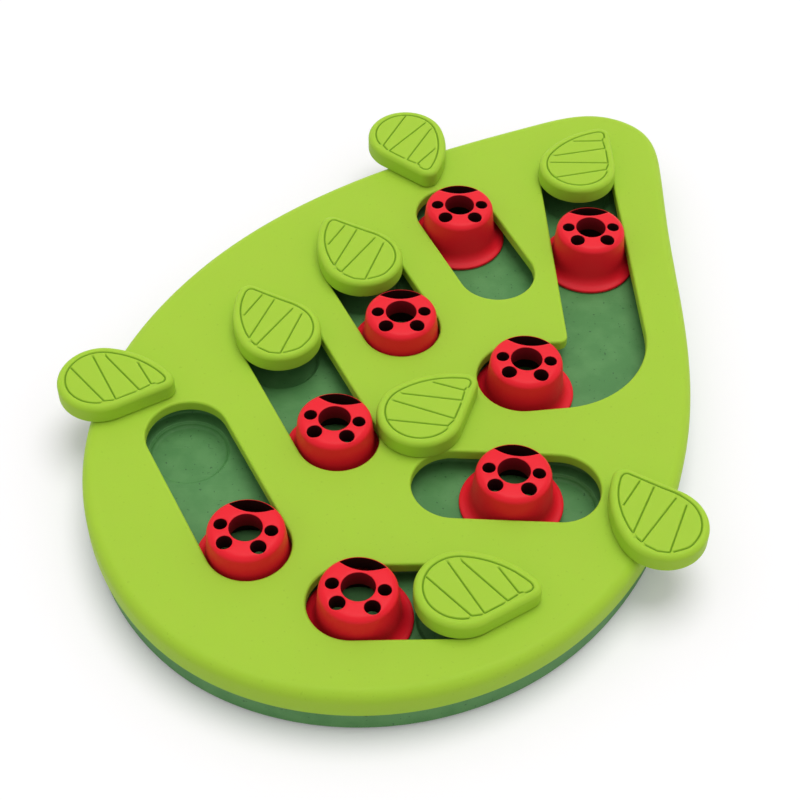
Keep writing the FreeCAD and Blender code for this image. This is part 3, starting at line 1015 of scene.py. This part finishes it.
def lines_joined_right():
    """Engraved lines of a leaf whose veins join the border on its straight side."""
    side_hub, from_tip, from_round = leaf_side()
    border = [Vector(p) for p in ((-1.2, -3.0), (0.8, -1.9), (1.5, -0.5), (0.9, 1.1))]
    border += arc(side_hub, leaf_side_radius - border_inset, from_tip, from_round, 12)[1:-1]
    border += arc(leaf_hub, leaf_radius - border_inset, from_round, 278, 24)
    veins = [
        [(-35.9, 4.7), (-20.9, -12.3), (-17.4, -11.8)],
        [(-27.9, 10.7), (-16.4, -11.3), (-9.4, -7.3)],
        [(-22.9, 11.2), (-7.9, -6.3), (-4.4, -3.8)],
        [(-9.9, 7.7), (-3.7, -3.1), (-2.5, -2.7)],
    ]
    return [flowing(border)] + [stroke(vein) for vein in veins]


def lines_joined_left():
    """Engraved lines of a leaf whose veins join the border on its bowed side."""
    border = [
        (-36.9, 5.2), (-38.0, -0.5), (-37.0, -4.5), (-34.8, -8.5), (-31.2, -11.7), (-27.0, -13.4),
        (-22.5, -13.7), (-16.9, -12.1), (-10.7, -8.5), (-6.2, -5.9), (-3.0, -4.1), (-0.7, -2.8),
        (0.8, -1.9), (1.4, -0.6), (0.9, 1.0), (-0.4, 2.6), (-3.0, 5.2), (-6.7, 7.9), (-10.2, 9.7),
        (-14.0, 11.2), (-19.1, 12.5), (-22.6, 12.9),
    ]
    veins = [
        [(-22.6, 12.9), (-9.5, -6.0)],
        [(-25.0, 13.0), (-27.5, 12.6), (-17.7, -10.0)],
        [(-29.4, 12.2), (-33.7, 10.1), (-36.4, 6.7), (-22.4, -11.4)],
        [(-10.3, 8.0), (-4.4, -3.3)],
    ]
    return [flowing(border)] + [stroke(vein) for vein in veins]


def beside(line, offset):
    """Line moved sideways."""
    moved = []
    for k, point in enumerate(line):
        along = (line[min(k + 1, len(line) - 1)] - line[max(k - 1, 0)]).normalized()
        moved.append(point + Vector((-along.y, along.x)) * offset)
    return moved


def leaf_blank(engraved):
    """Leaf lid without its engraving, hollow below, with a screw post at its pivot."""
    skin = Skin()
    under = leaf_top - leaf_wall
    outer = [(-leaf_wall - edge_break, under), (-leaf_wall, under - edge_break),
             (-leaf_wall, leaf_bottom + 0.2), (0.2 - leaf_wall, leaf_bottom)]
    outer += quarter(-0.4, leaf_bottom + 0.4, 0.4, -90, 0, 3)
    outer += quarter(-leaf_rounding, leaf_top - leaf_rounding, leaf_rounding, 0, 90, 9)
    ceiling, top = skin.wall(leaf_outline, outer)
    post = [(post_radius + edge_break, under), (post_radius, under - edge_break),
            (post_radius, leaf_bottom + 0.2), (post_radius - 0.2, leaf_bottom),
            (post_bore + 0.2, leaf_bottom), (post_bore, leaf_bottom + 0.2), (post_bore, under)]
    root, end = skin.wall(round_outline((0, 0), 32), post)
    skin.fill([end])
    skin.fill([ceiling, root])
    offsets = (-0.62, -0.45, -0.25, 0, 0.25, 0.45, 0.62)
    lines = [beside(line, offset) for line in engraved for offset in offsets]
    skin.cover([top], 1.1, lambda point: leaf_top, lines)
    return skin.finish("leaf_blank")


def leaf_with_lines(engraved):
    """Leaf lid with its engraved lines."""
    points, edges = [], []
    for line in engraved:
        edges += [(len(points) + k, len(points) + k + 1) for k in range(len(line) - 1)]
        points += [(p.x * MM, p.y * MM, leaf_top * MM) for p in line]
    lines = plain_object("lines", points, edges)
    blank = leaf_blank(engraved)
    leaf = made_by(engraving_tree(), "leaf_blade", {
        "Blank": blank, "Lines": lines, "Width": groove_width * MM, "Depth": groove_depth * MM,
        "Top": (leaf_top - 0.005) * MM, "Material": leaf_plastic,
    })
    bpy.data.objects.remove(blank)
    bpy.data.objects.remove(lines)
    return leaf


def placed_copies(master, name, numbers, places):
    """One numbered object per place, each a turned and moved copy of one piece."""
    made = []
    for number, (place, turn) in zip(numbers, places):
        data = master.data.copy()
        turned = Matrix.Rotation(math.radians(turn), 4, "Z")
        data.transform(Matrix.Translation((place[0] * MM, place[1] * MM, 0)) @ turned)
        made.append(new_object("%s_%d" % (name, number), data))
    bpy.data.objects.remove(master)
    return made


# Screws and feet

def screw_part():
    """Pan-head screw, head down, with a cross recess."""
    profile = [(1.2, screw_seat - 1.8)] + quarter(head_radius - 0.6, screw_seat - 1.2, 0.6, -90, 0, 4)
    profile += [(head_radius, screw_seat), (thread_radius, screw_seat)]
    for k in range(thread_count):
        low = screw_seat + k
        profile += [(thread_radius, low + 0.15), (thread_radius - 0.2, low + 0.4),
                    (thread_radius - 0.2, low + 0.7), (thread_radius, low + 0.95)]
    profile.append((0.6, screw_seat + thread_count + 0.2))
    slots = []
    for x, y in ((1.6, 0.35), (0.35, 1.6)):
        corners = [Vector((-x, -y)), Vector((x, -y)), Vector((x, y)), Vector((-x, y))]
        slots.append(lofted("slot", lambda growth, corners=corners: [c * (1 + growth) for c in corners],
                            [(0, screw_seat - 3), (0, screw_seat - 1.2), (-0.6, screw_seat - 0.7)]))
    screw = lofted("screw", round_outline((0, 0), 24), profile)
    return smooth(combine(screw, slots, "DIFFERENCE"))


def foot_part():
    """Rubber pad with a rounded edge and a shallow ring groove in its sole."""
    profile = [(3.6, 0.0), (3.9, 0.35), (4.5, 0.35), (4.8, 0.0)]
    profile += quarter(foot_radius - 0.6, 0.6, 0.6, -90, 0, 5) + [(foot_radius, foot_thickness)]
    return smooth(lofted("foot", round_outline((0, 0), 64), profile))


def on_places(tree, name, part, places, material, turn, seed):
    """Copies of a part at places in the plan, as one mesh."""
    spots = plain_object("places", [(x * MM, y * MM, 0) for x, y in places])
    made = made_by(tree, name, {
        "Part": part, "Places": spots, "Material": material, "Turn": turn, "Seed": seed,
    })
    bpy.data.objects.remove(spots)
    bpy.data.objects.remove(part)
    return made


# Assembly

def stand_for(piece, node, body, slot, *materials):
    """Finishes a piece and lets it stand for a node of the frame."""
    paint(piece, *materials)
    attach(piece, body)
    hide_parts(node)


stand_for(cover_shell(), "cover", "board", "light_green", lime_plastic)
stand_for(tray_shell(), "base_tray", "board", "dark_green", tray_plastic)

for number, piece in enumerate(placed_copies(bug_shell(), "bug_shell", range(1, 9), bug_places), 1):
    stand_for(piece, "bug_%d" % number, "bug_%d" % number, "red", bug_plastic, bug_rim, bug_inside)

for engraved, numbers in ((lines_joined_right(), (1, 2, 5, 6, 8)), (lines_joined_left(), (3, 4, 7))):
    leaf_master = evenly_shaded(smooth(leaf_with_lines(engraved), 40))
    places = [leaf_pivots()[number - 1] for number in numbers]
    for number, piece in zip(numbers, placed_copies(leaf_master, "leaf_blade", numbers, places)):
        stand_for(piece, "leaf_%d" % number, "leaf_%d" % number, "leaf_green", leaf_plastic)

repeats = repeat_tree()
stand_for(on_places(repeats, "screw_set", screw_part(), cover_screw_places, steel, 6.28, 3),
          "cover_screws", "board", "steel", steel)
stand_for(on_places(repeats, "foot_set", foot_part(), foot_places, foot_rubber, 0, 1),
          "feet", "board", "rubber", foot_rubber)

for number in range(1, 9):
    paint(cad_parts["leaf_screw_%d" % number], steel)


# Floor, light and camera

def showing_rays(tree):
    """1 for the rays that show the background: from the camera, in a gloss or through glass."""
    rays = tree.nodes.new("ShaderNodeLightPath").outputs
    either = maths(tree, "MAXIMUM", rays["Is Camera Ray"], rays["Is Glossy Ray"])
    return maths(tree, "MAXIMUM", either, rays["Is Transmission Ray"])


def floor():
    """Pale floor that looks white, keeps the object's shadow and throws little light back."""
    corners = [(x * floor_half, y * floor_half, 0) for x, y in ((-1, -1), (1, -1), (1, 1), (-1, 1))]
    ground = plain_object("floor", corners, faces=[(0, 1, 2, 3)])
    material = bpy.data.materials.new("pale_floor")
    material.use_nodes = True
    tree = material.node_tree
    showing = showing_rays(tree)
    feed(tree.nodes["Principled BSDF"], {
        "Base Color": blended(tree, showing, floor_tone, floor_tone_seen),
        "Roughness": 1, "Specular IOR Level": 0, "Emission Color": (1, 1, 1, 1),
        "Emission Strength": maths(tree, "MULTIPLY", showing, floor_lift),
    })
    paint(ground, material)


def lights():
    """Soft light from all around, strongest from above, and one wide lamp overhead."""
    world = bpy.data.worlds.new("studio")
    bpy.context.scene.world = world
    world.use_nodes = True
    tree = world.node_tree
    where = wired(tree, "ShaderNodeTexCoord", {}, "Generated")
    height = wired(tree, "ShaderNodeSeparateXYZ", {0: where}, "Z")
    rise = wired(tree, "ShaderNodeMapRange", {"Value": height, "To Min": sky_low, "To Max": sky_high})
    feed(tree.nodes["Background"], {
        "Color": (1, 1, 1, 1),
        "Strength": wired(tree, "ShaderNodeMix", {0: showing_rays(tree), 2: rise, 3: 1}),
    })
    lamp = bpy.data.lights.new("softbox", "SUN")
    lamp.energy = lamp_energy
    lamp.angle = math.radians(lamp_width)
    new_object("softbox", lamp).rotation_euler = lamp_heading.to_track_quat("Z", "Y").to_euler()


def camera():
    """Camera in front of the board, looking down at it, very slightly rolled."""
    data = bpy.data.cameras.new("camera")
    data.lens = camera_lens
    data.sensor_width = 36
    data.clip_end = 20
    fall = Matrix.Rotation(math.radians(90 - camera_fall), 4, "X")
    roll = Matrix.Rotation(math.radians(camera_roll), 4, "Z")
    view = new_object("camera", data)
    view.matrix_world = Matrix.Translation(camera_place) @ fall @ roll
    bpy.context.scene.camera = view


floor()
lights()
camera()
bpy.context.scene.view_settings.view_transform = "Standard"
